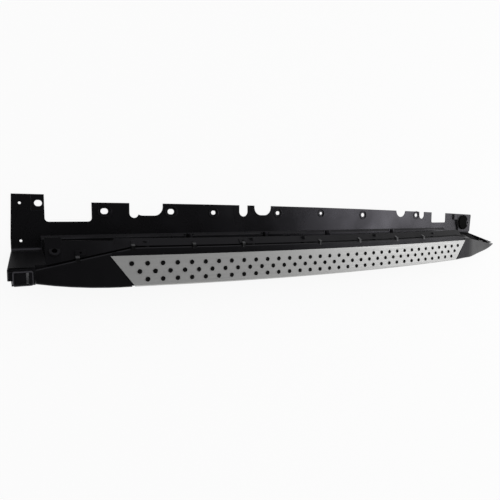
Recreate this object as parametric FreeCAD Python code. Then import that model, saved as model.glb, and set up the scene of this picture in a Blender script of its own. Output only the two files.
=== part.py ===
"""Side step bar for a car's sill: two black mouldings, a perforated tread and its rubber studs.

X runs along the bar, with the arch end at -X and the tapered tail at +X. Y points inboard, to the sill.
Z is up. The origin is on the flange's underside, on the line of its clip holes, at the tread's mid-length.
Lengths are in millimetres. While a piece is shaped, its Y counts from the middle row of studs.
"""
import FreeCAD, Part
import math
import os

V = FreeCAD.Vector

# Heights above the base plane
WALL = 3.0
DECK_TOP = 92.0
FLOOR_TOP = 15.0
TIP_TOP = 10.0
RIM_DEPTH = 8.0
GAP = 0.3

# Plan of the tread and the studs
STEP_OUT = 156.0
STUD_PITCH = 40.0
ROW_PITCH = 20.0
STUD_END_MARGIN = 30.0
STUD_R = 5.5
STUD_HEIGHT = 2.0
STUD_CLEARANCE = 0.2
STUD_ROW_RADIUS = 21650.0
TREAD_FRONT = -40.5
TREAD_REAR = 43.5
TREAD_FRONT_HALF = 650.0
TREAD_REAR_HALF = 710.0
TREAD_LIP = 8.0
TREAD_T = 2.0
MAT_T = 1.5
MAT_INSET = 6.0
TREAD_SEAT_MARGIN = 4.0
FRONT_RADIUS = 18000.0
REAR_RADIUS = 36000.0

# Step cover
SKIRT_SLOPE = 0.3
COVER_REAR = 63.0
COVER_LEFT_X = -872.0
TIP_X = 1056.0
CREST_X = 745.0
CREST_RADIUS = 300.0
NOSE_CHAMFER = 4.0
LIP_CHAMFER = 2.5
GROOVE_W = 9.0
GROOVE_DEPTH = 2.0
RETURN_LIP_Y = 34.0
COVER_RIB_T = 2.5
COVER_RIB_BOTTOM = 24.0
COVER_RIB_XS = [-600 + 150 * i for i in range(9)]

# Front and rear edges of the cover in plan, beyond the tread's stretch, at deck height
FRONT_LEFT = [(-872.0, -5.0), (-792.0, -19.0), (-736.0, -25.0)]
FRONT_TAIL = [(748.0, -21.8), (876.0, -18.4), (990.0, -15.4), (TIP_X, -7.0)]
REAR_LEFT = [(-735.0, 53.0), (-785.0, 44.0), (-872.0, 28.0)]
REAR_TAIL = [(TIP_X, 22.0), (1018.0, 24.0), (876.0, 39.0), (727.0, 58.0)]
SHOULDER_X = 650.0

# Carrier section
SLOT_W = 4.0
CHANNEL_DEPTH = 16.0
WEB_Y = 8.5
WEB_CLEARANCE = 0.5
RIDGE_FOOT_Y = 98.0
RIDGE_TOP_Y = 90.0
SHELF_LOW_Y = 85.0
SHELF_STEP_X = -698.0
SHELF_STEP_Y = 86.0
SHELF_STEP_RISE = 4.0
SHELF_CORNER_X = -816.0
SHELF_CORNER_Y = 98.0
SHELF_SINK = 7.5
SHELF_DROP = 13.0
SHELF_LIP = 8.0
CARRIER_X0 = -850.0
CARRIER_X1 = 690.0

# Ring bosses for the sill clips
BOSS_XS = [-620.0, -305.0, -115.0, 200.0, 518.0]
BOSS_LOW_Z = 25.0
BOSS_HIGH_Z = 70.0
BOSS_R = 12.0
BOSS_HOLE_R = 6.0
BOSS_HOLE_DEPTH = 40.0
BOSS_FACE_Y = 84.0
FRONT_BOSS_X = -831.0
FRONT_BOSS_Y = 68.0
FRONT_BOSS_RISE = 3.0
FRONT_BOSS_LENGTH = 18.0
FRONT_BOSS_TILT = math.radians(40.0)
V_DIP_XS = [-474.0, -217.0, 36.0, 357.0]
V_DIP_HALF = 11.0
V_DIP_DEPTH = 12.0
CARRIER_RIB_T = 2.5
CARRIER_RIB_DEPTH = 32.0
CARRIER_RIB_XS = [-760.0, -690.0, -550.0, -400.0, -210.0, -20.0, 100.0, 300.0, 410.0, 610.0]

# Flange under the sill
PLATE_X0 = -909.0
PLATE_X1 = -840.0
PLATE_Y = 197.0
PLATE_SLANT = 4.0
FLANGE_LEFT_Y = 179.0
FLANGE_MID_X = 100.0
FLANGE_MID_Y = 174.0
FLANGE_RIGHT_Y = 154.0
FLANGE_X1 = 883.0
FLANGE_FOOT_X1 = 872.0
FLANGE_FOOT_Y1 = 74.0
FLANGE_END_SLANT = 5.0
RECESS_DEPTH = 1.0
RECESS_MARGIN = 5.0

# Notches in the flange's inboard edge: from x, to x, bottom y, corner radius
NOTCHES = [(-840.0, -732.0, 132.0, 9.0), (-637.0, -612.0, 141.0, 12.4), (-625.0, -545.0, 147.0, 24.0),
           (-304.0, -274.0, 145.0, 14.8), (-250.0, -188.0, 149.0, 24.0), (396.0, 450.0, 144.0, 26.0),
           (533.0, 564.0, 137.0, 15.0), (611.0, 705.0, 121.0, 6.0)]
# Clip holes in the flange: x, y, length along the bar, width
CLIP_HOLES = [(-853.0, 176.0, 17.0, 14.5), (-701.0, 158.0, 19.0, 14.5), (-522.0, 158.0, 19.0, 14.5),
              (-391.0, 156.0, 14.5, 11.5), (-162.0, 156.0, 14.5, 11.5), (18.0, 156.0, 11.0, 9.0),
              (217.0, 151.0, 16.0, 13.5), (514.0, 151.0, 16.0, 13.5)]
SCREW_HOLE_X = -892.0
SCREW_HOLE_YS = [176.0, 88.0]
SCREW_HOLE_R = 3.0

# Thin grooves across the flange: from x, y to x, y
CREASES = [(-327.0, 177.0, -320.0, 122.0), (-262.5, 177.0, -262.5, 150.0)]
CREASE_W = 2.2
CREASE_DEPTH = 1.0

# Pads on the sloped shelf: centre x, width, from y, to y, height, hole radius
SHELF_PADS = [(-776.0, 23.0, 55.0, 67.0, 3.0, 2.5), (-651.0, 14.0, 74.0, 85.0, 2.5, 0.0),
              (-488.0, 13.0, 71.0, 80.0, 4.0, 0.0), (-338.0, 25.0, 71.0, 82.0, 3.0, 3.0)]

# End pieces
EAR_TOP = 110.0
EAR_SHOULDER_W = 9.0
EAR_SHOULDER_DROP = 6.0
EAR_POCKET_DEPTH = 3.0
EAR_GROOVE_W = 5.0
EAR_GROOVE_DEPTH = 9.0
EAR_RIB_W = 9.0
EAR_CHAMFER = 2.5
END_CAP_X0 = -927.0
END_CAP_GAP = 0.6
CAP_CORNER_W = 8.0
CAP_CORNER_Y = 7.0
CLOSING_FOOT_Y = 66.5
CLOSING_TOP_Y = 36.0
CLOSING_TOP_Z = DECK_TOP - RIM_DEPTH - 0.5
CLOSING_FLARE = 12.0
REAR_WALL_FOOT_Y = 85.0
FOLD_RADIUS = 12.0
REAR_PLATE = [(757.0, 133.0), (780.0, 133.0), (787.0, 85.0), (868.0, 80.0), (875.0, 151.0), (757.0, 156.0)]
REAR_PLATE_TOP = 9.0
REAR_PLATE_WALL = 2.0
REAR_POCKET = 1.5
REAR_GROOVE_W = 4.0
REAR_SEAM_W = 1.0
PLUG_X = 815.0
PLUG_Y = 121.0
PLUG_R = 31.0
PLUG_STEM_R = 18.0
PLUG_HEIGHT = 7.0
PLUG_BOSS_GAP = 1.5
PLATE_BOSS_X = 853.0
PLATE_BOSS_Y = 119.0
PLATE_BOSS_R = 15.0
PLATE_BOSS_H = 2.0

# Clips and screws
COVER_CLIP_XS = [-784.0, -655.0, -492.0, -340.0, -58.0, 115.0, 299.0, 447.0]
COVER_CLIP_W = 9.0
COVER_CLIP_REACH = 6.0
COVER_CLIP_T = 1.2
CLIP_GAP = 0.25
TAIL_FLOOR_TIP = (1060.0, 27.0)
TAIL_RIB_XS = [886.0, 900.0, 930.0, 950.0, 970.0, 990.0]
TAIL_CLIP_XS = [915.0, 1018.0]
TAIL_CLIP_W = 12.0
TAIL_CLIP_FOOT = 5.0
TAIL_CLIP_STANDOFF = 8.0
TAIL_CLIP_T = 2.0
SCREW_XS = [-560.0, -340.0, -80.0, 60.0, 340.0, 570.0]
SCREW_Y = 26.0
SCREW_R = 2.5
SCREW_HEAD_R = 5.5
SCREW_HEAD_H = 3.0
SCREW_HEAD_TAPER = 1.2
SCREW_DRIVE_R = 1.6
SCREW_LENGTH = 22.0
SCREW_BOSS_R = 6.0
SCREW_CLEARANCE = 0.1
SCREW_THROUGH = 6.0

# Reach across the bar of the shapes that only cut or trim
ACROSS = 300.0

SLOPE = math.atan2(DECK_TOP - TIP_TOP, TIP_X - CREST_X)


def roof_z(x):
    """Height of the cover's top surface at x, with the crest taken as sharp."""
    return DECK_TOP - max(0.0, x - CREST_X) * math.tan(SLOPE)


def bowed(y, x, radius):
    """Y of a line that bows outboard about mid-length."""
    return y + x * x / (2.0 * radius)


def wire_face(edges):
    """Face inside a closed loop of edges."""
    return Part.Face(Part.Wire(edges))


def line(a, b):
    """Straight edge between two points."""
    return Part.LineSegment(V(*a), V(*b)).toShape()


def arc(a, b, c):
    """Arc from a through b to c."""
    return Part.Arc(V(*a), V(*b), V(*c)).toShape()


def curve(points):
    """Smooth edge through points."""
    spline = Part.BSplineCurve()
    spline.interpolate([V(*p) for p in points])
    return spline.toShape()


def polygon(points):
    """Face inside a polygon."""
    return Part.Face(Part.makePolygon([V(*p) for p in points] + [V(*points[0])]))


def prism_z(points, z0, z1):
    """Polygon in plan, from height z0 to z1."""
    return polygon([(x, y, z0) for x, y in points]).extrude(V(0, 0, z1 - z0))


def prism_x(points, x0, x1):
    """Polygon across the bar, from x0 to x1."""
    return polygon([(x0, y, z) for y, z in points]).extrude(V(x1 - x0, 0, 0))


def prism_y(points, y0, y1):
    """Polygon in side view, from y0 to y1."""
    return polygon([(x, y0, z) for x, z in points]).extrude(V(0, y1 - y0, 0))


def block(x0, x1, y0, y1, z0, z1):
    """Box between two corners."""
    return Part.makeBox(x1 - x0, y1 - y0, z1 - z0, V(x0, y0, z0))


def band(points, thickness):
    """Outline of a bent strip of even thickness along an open line of points."""
    half = thickness / 2.0
    sides = ([], [])
    for i, (y, z) in enumerate(points):
        before = points[max(i - 1, 0)]
        after = points[min(i + 1, len(points) - 1)]
        normals = []
        for p, q in ((before, (y, z)), ((y, z), after)):
            run = math.hypot(q[0] - p[0], q[1] - p[1])
            if run > 0:
                normals.append((-(q[1] - p[1]) / run, (q[0] - p[0]) / run))
        ny = sum(n[0] for n in normals) / len(normals)
        nz = sum(n[1] for n in normals) / len(normals)
        scale = half / (ny * ny + nz * nz)
        sides[0].append((y + ny * scale, z + nz * scale))
        sides[1].append((y - ny * scale, z - nz * scale))
    return sides[0] + sides[1][::-1]


def loft_x(sections):
    """Solid through outlines given as (x, [(y, z), ...])."""
    wires = [Part.makePolygon([V(x, y, z) for y, z in pts] + [V(x, *pts[0])]) for x, pts in sections]
    return Part.makeLoft(wires, True, True)


def rectangle_wire(x0, x1, y0, y1, z):
    """Rectangular loop at one height."""
    corners = [(x0, y0), (x1, y0), (x1, y1), (x0, y1), (x0, y0)]
    return Part.makePolygon([V(x, y, z) for x, y in corners])


def slot_solid(x, y, length, width, z0, z1):
    """Round-ended slot along the bar."""
    r = width / 2.0
    reach = length / 2.0 - r
    ends = [Part.makeCylinder(r, z1 - z0, V(x + s * reach, y, z0)) for s in (-1, 1)]
    if reach <= 0:
        return ends[0]
    return ends[0].fuse([ends[1], block(x - reach, x + reach, y - r, y + r, z0, z1)]).removeSplitter()


def rounded_notch(x0, x1, bottom, radius, z0, z1):
    """Notch open towards +Y, with its two inner corners rounded."""
    far = PLATE_Y + 10.0
    r = min(radius, (x1 - x0) / 2.0 - 0.01)
    k = r * (1.0 - math.sqrt(0.5))
    edges = [line((x0, far, z0), (x0, bottom + r, z0)),
             arc((x0, bottom + r, z0), (x0 + k, bottom + k, z0), (x0 + r, bottom, z0)),
             line((x0 + r, bottom, z0), (x1 - r, bottom, z0)),
             arc((x1 - r, bottom, z0), (x1 - k, bottom + k, z0), (x1, bottom + r, z0)),
             line((x1, bottom + r, z0), (x1, far, z0)),
             line((x1, far, z0), (x0, far, z0))]
    return wire_face(edges).extrude(V(0, 0, z1 - z0))


def under_roof(drop):
    """All space below the cover's top surface lowered by drop, down to under the base."""
    tangent = CREST_RADIUS * math.tan(SLOPE / 2.0)
    top = DECK_TOP - drop
    start = (CREST_X - tangent, top)
    end = (CREST_X + tangent * math.cos(SLOPE), top - tangent * math.sin(SLOPE))
    mid = (start[0] + CREST_RADIUS * math.sin(SLOPE / 2.0),
           top - CREST_RADIUS * (1.0 - math.cos(SLOPE / 2.0)))
    reach = TIP_X + 60.0
    far_z = top - (reach - CREST_X) * math.tan(SLOPE)
    y = -ACROSS
    left = COVER_LEFT_X - 40.0
    floor = min(far_z, 0.0) - 20.0
    edges = [line((left, y, floor), (left, y, top)), line((left, y, top), (start[0], y, start[1])),
             arc((start[0], y, start[1]), (mid[0], y, mid[1]), (end[0], y, end[1])),
             line((end[0], y, end[1]), (reach, y, far_z)), line((reach, y, far_z), (reach, y, floor)),
             line((reach, y, floor), (left, y, floor))]
    return wire_face(edges).extrude(V(0, 2.0 * ACROSS, 0))


def front_half_plane(shift, z):
    """Plan face of all that lies inboard of the cover's front edge, moved inboard by shift."""
    far = ACROSS
    shoulder_y = bowed(TREAD_FRONT, SHOULDER_X, FRONT_RADIUS) + shift
    left = [(x, y + shift, z) for x, y in FRONT_LEFT] + [(-SHOULDER_X, shoulder_y, z)]
    tail = [(SHOULDER_X, shoulder_y, z)] + [(x, y + shift, z) for x, y in FRONT_TAIL]
    return wire_face([curve(left), arc(left[-1], (0, TREAD_FRONT + shift, z), tail[0]), curve(tail),
                      line(tail[-1], (TIP_X, far, z)), line((TIP_X, far, z), (COVER_LEFT_X, far, z)),
                      line((COVER_LEFT_X, far, z), left[0])])


def rear_half_plane(shift, z):
    """Plan face of all that lies outboard of the cover's rear edge, moved outboard by shift."""
    far = -ACROSS
    shoulder_y = bowed(COVER_REAR, SHOULDER_X, REAR_RADIUS) - shift
    tail = [(x, y - shift, z) for x, y in REAR_TAIL] + [(SHOULDER_X, shoulder_y, z)]
    left = [(-SHOULDER_X, shoulder_y, z)] + [(x, y - shift, z) for x, y in REAR_LEFT]
    return wire_face([curve(tail), arc(tail[-1], (0, COVER_REAR - shift, z), left[0]), curve(left),
                      line(left[-1], (COVER_LEFT_X, far, z)), line((COVER_LEFT_X, far, z), (TIP_X, far, z)),
                      line((TIP_X, far, z), tail[0])])


def cover_body(inset, rear_inset, z0, z1):
    """Solid inside the cover's nose and leaning skirt, its ends and its upright rear edge."""
    skirt = front_half_plane(SKIRT_SLOPE * (DECK_TOP - z1) + inset, z1)
    body = skirt.extrude(V(0, SKIRT_SLOPE * (z1 - z0), z0 - z1))
    body = body.common(rear_half_plane(rear_inset, z0).extrude(V(0, 0, z1 - z0)))
    nose = NOSE_CHAMFER + inset * math.sqrt(2.0) - (DECK_TOP - z1)
    body = body.common(front_half_plane(nose, z1).extrude(V(0, z0 - z1, z0 - z1)))
    return body.common(block(COVER_LEFT_X + inset, TIP_X - inset, -ACROSS, ACROSS, z0, z1))


def lip_chamfer():
    """All that the chamfered rear edge of the deck keeps."""
    face = rear_half_plane(LIP_CHAMFER + 1.0, DECK_TOP + 1.0)
    return face.extrude(V(0, DECK_TOP + 1.0, -DECK_TOP - 1.0))


def tread_face(grow, z, front=TREAD_FRONT):
    """Plan face of the tread, with its slanted ends, grown by an even margin."""
    front_half = TREAD_FRONT_HALF + grow
    rear_half = TREAD_REAR_HALF + grow
    front_y = bowed(front - grow, TREAD_FRONT_HALF, FRONT_RADIUS)
    rear_y = bowed(TREAD_REAR + grow, TREAD_REAR_HALF, REAR_RADIUS)
    edges = [arc((-front_half, front_y, z), (0, front - grow, z), (front_half, front_y, z)),
             line((front_half, front_y, z), (rear_half, rear_y, z)),
             arc((rear_half, rear_y, z), (0, TREAD_REAR + grow, z), (-rear_half, rear_y, z)),
             line((-rear_half, rear_y, z), (-front_half, front_y, z))]
    return wire_face(edges)


def tread_half(y):
    """Half length of the tread at y, between its slanted ends."""
    share = (y - TREAD_FRONT) / (TREAD_REAR - TREAD_FRONT)
    return TREAD_FRONT_HALF + share * (TREAD_REAR_HALF - TREAD_FRONT_HALF)


def stud_points():
    """Centres of the studs: three rows, the middle one shifted by half a pitch."""
    points = []
    for row in (-1, 0, 1):
        y = row * ROW_PITCH
        first = 0.0 if row == 0 else STUD_PITCH / 2.0
        steps = int((tread_half(y) - STUD_END_MARGIN - first) // STUD_PITCH)
        side = [first + i * STUD_PITCH for i in range(steps + 1)]
        for x in sorted({-v for v in side} | set(side)):
            points.append((x, bowed(y, x, STUD_ROW_RADIUS)))
    return points


def cover_rear_y(x):
    """Y of the cover's rear edge at x."""
    if abs(x) <= SHOULDER_X:
        return bowed(COVER_REAR, x, REAR_RADIUS)
    shoulder = (SHOULDER_X, bowed(COVER_REAR, SHOULDER_X, REAR_RADIUS))
    if x < 0:
        points = [(-shoulder[0], shoulder[1])] + REAR_LEFT
    else:
        points = [shoulder] + REAR_TAIL[::-1]
    for (xa, ya), (xb, yb) in zip(points, points[1:]):
        if min(xa, xb) <= x <= max(xa, xb):
            return ya + (yb - ya) * (x - xa) / (xb - xa)
    return points[-1][1]


def cover_front_y(x):
    """Y of the cover's front edge at x, at deck height."""
    left = FRONT_LEFT + [(-SHOULDER_X, bowed(TREAD_FRONT, SHOULDER_X, FRONT_RADIUS))]
    for (xa, ya), (xb, yb) in zip(left, left[1:]):
        if xa <= x <= xb:
            return ya + (yb - ya) * (x - xa) / (xb - xa)
    return bowed(TREAD_FRONT, x, FRONT_RADIUS)


def cover_tail_front_y(x):
    """Y of the tail's front edge at x, as if at deck height."""
    for (xa, ya), (xb, yb) in zip(FRONT_TAIL, FRONT_TAIL[1:]):
        if xa <= x <= xb:
            return ya + (yb - ya) * (x - xa) / (xb - xa)
    return FRONT_TAIL[-1][1]


def web_y(x):
    """Y of the carrier's web, which keeps clear of the leaning skirt."""
    inside = cover_front_y(x) + SKIRT_SLOPE * (DECK_TOP - FLOOR_TOP + WALL) + WALL
    return max(WEB_Y, inside + WALL / 2.0 + WEB_CLEARANCE)


def shelf_low_y(x):
    """Y of the shelf's lower edge: bowed, cut back in one stretch, and widest at the arch end."""
    if x > SHELF_STEP_X:
        return bowed(SHELF_LOW_Y, x, REAR_RADIUS)
    if x > SHELF_CORNER_X:
        share = (x - SHELF_STEP_X) / (SHELF_CORNER_X - SHELF_STEP_X)
        return SHELF_STEP_Y + share * SHELF_STEP_RISE
    return SHELF_CORNER_Y


def carrier_line(x):
    """Middle line of the carrier's wall across the bar at x, from the ridge's foot to the shelf's lip."""
    half = WALL / 2.0
    top = DECK_TOP - TREAD_T - MAT_T - WALL - half
    edge = cover_rear_y(x) + SLOT_W + half
    channel = DECK_TOP - CHANNEL_DEPTH - half
    shelf_top = DECK_TOP - SHELF_SINK
    low = shelf_low_y(x) - half
    web = web_y(x)
    return [(RIDGE_FOOT_Y, half), (RIDGE_TOP_Y, FLOOR_TOP - half), (web, FLOOR_TOP - half), (web, top),
            (edge - 13.0, top), (edge - 9.0, channel), (edge, channel), (edge, shelf_top),
            (low, shelf_top - SHELF_DROP), (low, shelf_top - SHELF_DROP - SHELF_LIP)]


def shelf_z(x, y):
    """Height of the sloped shelf's upper side."""
    (ya, za), (yb, zb) = carrier_line(x)[7:9]
    slant = math.hypot(yb - ya, zb - za) / (yb - ya)
    return za + (zb - za) * (y - ya) / (yb - ya) + WALL / 2.0 * slant


def closing_wall_y(z):
    """Y of the front closing wall's middle at height z."""
    run = (CLOSING_TOP_Y - CLOSING_FOOT_Y) / (CLOSING_TOP_Z - WALL / 2.0)
    return CLOSING_FOOT_Y + run * (z - WALL / 2.0)


def rear_plate_outline(grow, z0, z1):
    """Solid over the rear plate's outline, grown by an even margin, from height z0 to z1."""
    wire = Part.makePolygon([V(x, y, z0) for x, y in REAR_PLATE] + [V(*REAR_PLATE[0], z0)])
    if grow != 0:
        wire = wire.makeOffset2D(grow, 2)
    return Part.Face(wire).extrude(V(0, 0, z1 - z0))


def make_carrier():
    """Inner moulding: flange, ridge, floor, web, channel, shelf, bosses and closing walls."""
    stations = [CARRIER_X0, SHELF_CORNER_X, SHELF_CORNER_X + 1.0, -785.0, -735.0, SHELF_STEP_X, SHELF_STEP_X + 1.0,
                -SHOULDER_X, -488.0, -325.0, -160.0, 0.0, 160.0, 325.0, 488.0, SHOULDER_X, CARRIER_X1]
    body = loft_x([(x, band(carrier_line(x), WALL)) for x in stations])

    # Flange and floor under the tail
    left = PLATE_X0 - PLATE_SLANT
    right = FLANGE_X1 - FLANGE_END_SLANT
    flange_edges = [line((left, RIDGE_FOOT_Y - 2, 0), (PLATE_X0, PLATE_Y, 0)),
                    line((PLATE_X0, PLATE_Y, 0), (PLATE_X1, PLATE_Y, 0)),
                    line((PLATE_X1, PLATE_Y, 0), (PLATE_X1, FLANGE_LEFT_Y, 0)),
                    arc((PLATE_X1, FLANGE_LEFT_Y, 0), (FLANGE_MID_X, FLANGE_MID_Y, 0), (FLANGE_X1, FLANGE_RIGHT_Y, 0)),
                    line((FLANGE_X1, FLANGE_RIGHT_Y, 0), (right, RIDGE_FOOT_Y - 2, 0)),
                    line((right, RIDGE_FOOT_Y - 2, 0), (left, RIDGE_FOOT_Y - 2, 0))]
    flange = wire_face(flange_edges).extrude(V(0, 0, WALL))
    skirt_in = WALL + 2.0
    tail_front = [(x, y + SKIRT_SLOPE * DECK_TOP + skirt_in) for x, y in FRONT_TAIL[:-1]]
    tail_floor = prism_z([(CARRIER_X1 - 2.0, RIDGE_FOOT_Y), (CARRIER_X1 - 2.0, tail_front[0][1])] + tail_front
                         + [(TIP_X - 12.0, 24.0), TAIL_FLOOR_TIP, (FLANGE_FOOT_X1, FLANGE_FOOT_Y1),
                            (FLANGE_FOOT_X1 + 1.5, RIDGE_FOOT_Y)], 0, WALL)
    body = body.fuse([flange, tail_floor])

    # Walls across the bar's ends
    top = DECK_TOP - TREAD_T - MAT_T - WALL
    half = WALL / 2.0
    wall_top = DECK_TOP - 1.0
    front_wall = prism_x(band([(RIDGE_FOOT_Y, half), (CLOSING_FOOT_Y, half), (closing_wall_y(wall_top), wall_top)],
                              WALL), END_CAP_X0, CARRIER_X0 + WALL)
    for radius, z in ((FOLD_RADIUS + WALL, 0.0), (FOLD_RADIUS, WALL)):
        fold = [e for e in front_wall.Edges if e.BoundBox.XLength > WALL and abs(e.BoundBox.ZMax - z) < 0.01
                and e.BoundBox.ZLength < 0.01 and abs(e.BoundBox.Center.y - CLOSING_FOOT_Y) < WALL]
        front_wall = front_wall.makeFillet(radius, fold)
    flare = prism_y([(left - 60.0, -1.0), (left, -1.0), (left, FOLD_RADIUS), (left - CLOSING_FLARE, wall_top + 1.0),
                     (left - 60.0, wall_top + 1.0)], 0.0, RIDGE_FOOT_Y + 1.0)
    under_rim = block(COVER_LEFT_X - END_CAP_GAP, CARRIER_X0 + 2.0 * WALL, 0.0, CLOSING_FOOT_Y, CLOSING_TOP_Z,
                      DECK_TOP + WALL)
    front_wall = front_wall.cut([flare, under_rim])
    ledge = block(COVER_LEFT_X, CARRIER_X0 + WALL, cover_rear_y(COVER_LEFT_X) - WALL, CLOSING_TOP_Y,
                  CLOSING_TOP_Z - WALL, CLOSING_TOP_Z)
    web = web_y(CARRIER_X0)
    rim_in = cover_rear_y(CARRIER_X0) - WALL - 1.0
    front_bulkhead = prism_x([(web, FLOOR_TOP - WALL), (CLOSING_FOOT_Y - 5.0, FLOOR_TOP - WALL),
                              (CLOSING_TOP_Y + 1.0, CLOSING_TOP_Z), (rim_in, CLOSING_TOP_Z), (rim_in, top),
                              (web, top)], CARRIER_X0, CARRIER_X0 + WALL)
    ridge_middle = [(RIDGE_FOOT_Y, 0), (RIDGE_TOP_Y, FLOOR_TOP - half)]
    front_riser = prism_x([(CLOSING_FOOT_Y - 2.0, 0)] + ridge_middle + [(CLOSING_FOOT_Y - 2.0, FLOOR_TOP - half)],
                          CARRIER_X0, CARRIER_X0 + WALL)
    rear_bulkhead = prism_x([(WEB_Y - half, 0)] + ridge_middle + [(cover_rear_y(CARRIER_X1) - 1.0, top - 10.0),
                             (cover_rear_y(CARRIER_X1) - 8.0, top), (WEB_Y - half, top)],
                            CARRIER_X1 - WALL, CARRIER_X1)
    rear_wall_sections = []
    for x, foot_y in ((CARRIER_X1 - 2.0, REAR_WALL_FOOT_Y), (FLANGE_FOOT_X1 + 2.0, FLANGE_FOOT_Y1)):
        wall_top = roof_z(x) - RIM_DEPTH - 4.0
        rear_wall_sections.append((x, band([(foot_y, half), (cover_rear_y(x) - 2.0, wall_top)], WALL)))
    rear_wall = loft_x(rear_wall_sections)
    x1 = FLANGE_FOOT_X1 + 2.0
    end_top = roof_z(x1) - RIM_DEPTH - 4.0
    end_wall = prism_x([(18.0, 0), (FLANGE_FOOT_Y1, 0), (cover_rear_y(x1) - 2.0, end_top), (18.0, end_top)],
                       x1 - WALL, x1)
    body = body.fuse([front_wall, ledge, front_bulkhead, front_riser, rear_bulkhead, rear_wall, end_wall])

    # Ribs from the web, V dips in the ridge, pads on the shelf, grooves in the flange, and the bosses
    adds = []
    cuts = []
    for x in CARRIER_RIB_XS:
        back = web_y(x)
        depth = min(CARRIER_RIB_DEPTH, cover_rear_y(x) - 12.0 - back)
        adds.append(prism_x([(back, FLOOR_TOP - half), (back + depth, FLOOR_TOP - half),
                             (back + depth * 0.55, (FLOOR_TOP + top) / 2.0), (back + depth, top - half),
                             (back, top - half)], x - CARRIER_RIB_T / 2.0, x + CARRIER_RIB_T / 2.0))
    for x in TAIL_RIB_XS:
        share = (x - FLANGE_FOOT_X1) / (TAIL_FLOOR_TIP[0] - FLANGE_FOOT_X1)
        edge_y = FLANGE_FOOT_Y1 + (TAIL_FLOOR_TIP[1] - FLANGE_FOOT_Y1) * share
        back = cover_rear_y(x) - 2.0 * WALL
        crown = roof_z(x) - RIM_DEPTH - half
        adds.append(prism_x([(back, half), (edge_y - half, half), (edge_y - half, 2.0 * WALL), (back, crown)],
                            x - CARRIER_RIB_T / 2.0, x + CARRIER_RIB_T / 2.0))
    bottom = FLOOR_TOP - V_DIP_DEPTH
    for x in V_DIP_XS:
        wide = V_DIP_HALF + WALL
        outer = [(x - wide, FLOOR_TOP - 0.5), (x - wide, FLOOR_TOP - WALL), (x - WALL, 0), (x + WALL, 0),
                 (x + wide, FLOOR_TOP - WALL), (x + wide, FLOOR_TOP - 0.5)]
        adds.append(prism_y(outer, RIDGE_TOP_Y - V_DIP_DEPTH, RIDGE_FOOT_Y - 1.0))
        inner = [(x - V_DIP_HALF, FLOOR_TOP + 1), (x, bottom), (x + V_DIP_HALF, FLOOR_TOP + 1)]
        cuts.append(prism_y(inner, RIDGE_TOP_Y - V_DIP_DEPTH + WALL, RIDGE_FOOT_Y + 6.0))
    for x, width, y0, y1, height, hole_r in SHELF_PADS:
        z0, z1 = shelf_z(x, y0), shelf_z(x, y1)
        adds.append(prism_x([(y0, z0 - 2.0), (y0, z0 + height), (y1, z1 + height), (y1, z1 - 2.0)],
                            x - width / 2.0, x + width / 2.0))
        if hole_r > 0:
            y = (y0 + y1) / 2.0
            cuts.append(Part.makeCylinder(hole_r, 2.0 * height, V(x, y, shelf_z(x, y) - height + 1.0)))
    for x0, y0, x1, y1 in CREASES:
        cuts.append(prism_z(band([(x0, y0), (x1, y1)], CREASE_W), WALL - CREASE_DEPTH, WALL + 1.0))
    boss_points = [(x, z) for x in BOSS_XS for z in (BOSS_LOW_Z, BOSS_HIGH_Z)]
    for x, z in boss_points:
        back = web_y(x)
        adds.append(Part.makeCylinder(BOSS_R, BOSS_FACE_Y - back, V(x, back, z), V(0, 1, 0)))
        cuts.append(Part.makeCylinder(BOSS_HOLE_R, BOSS_HOLE_DEPTH, V(x, BOSS_FACE_Y - BOSS_HOLE_DEPTH, z),
                                      V(0, 1, 0)))
    lean = V(0, math.sin(FRONT_BOSS_TILT), math.cos(FRONT_BOSS_TILT))
    face = V(FRONT_BOSS_X, FRONT_BOSS_Y, shelf_z(FRONT_BOSS_X, FRONT_BOSS_Y) + FRONT_BOSS_RISE)
    adds.append(Part.makeCylinder(BOSS_R, FRONT_BOSS_LENGTH, face - lean * FRONT_BOSS_LENGTH, lean))
    cuts.append(Part.makeCylinder(BOSS_HOLE_R, FRONT_BOSS_LENGTH, face - lean * (FRONT_BOSS_LENGTH - WALL), lean))
    for x in SCREW_XS:
        adds.append(Part.makeCylinder(SCREW_BOSS_R, SCREW_LENGTH - SCREW_THROUGH, V(x, SCREW_Y, FLOOR_TOP - WALL)))
        cuts.append(Part.makeCylinder(SCREW_R + SCREW_CLEARANCE, SCREW_LENGTH + 1.0,
                                      V(x, SCREW_Y, FLOOR_TOP - WALL - 1.0)))
    body = body.fuse(adds)

    # Notches, clip holes and their recesses, screw holes, and the pocket of the rear plate
    for x0, x1, bottom, radius in NOTCHES:
        cuts.append(rounded_notch(x0, x1, bottom, radius, -1.0, WALL + 1.0))
    for x, y, length, width in CLIP_HOLES:
        cuts.append(slot_solid(x, y, length, width, -1.0, WALL + 1.0))
        if x != CLIP_HOLES[0][0]:
            margin = 2.0 * RECESS_MARGIN
            cuts.append(slot_solid(x, y, length + margin, width + margin, WALL - RECESS_DEPTH, WALL + 1.0))
    cuts.append(block(CLIP_HOLES[0][0] - 15.0, PLATE_X1 + 1.0, CLIP_HOLES[0][1] - 17.0, PLATE_Y + 1.0,
                      WALL - RECESS_DEPTH, WALL + 1.0))
    for y in SCREW_HOLE_YS:
        cuts.append(Part.makeCylinder(SCREW_HOLE_R, WALL + 2.0, V(SCREW_HOLE_X, y, -1.0)))
    cuts.append(rear_plate_outline(REAR_GROOVE_W, WALL - REAR_POCKET, 2.0 * WALL))
    cuts.append(Part.makeCylinder(PLUG_STEM_R + GAP, WALL + 2.0, V(PLUG_X, PLUG_Y, -1.0)))
    cuts.append(Part.makeCylinder(SCREW_R + SCREW_CLEARANCE, WALL + 2.0, V(PLATE_BOSS_X, PLATE_BOSS_Y, -1.0)))
    return body.cut(cuts).removeSplitter()


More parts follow.
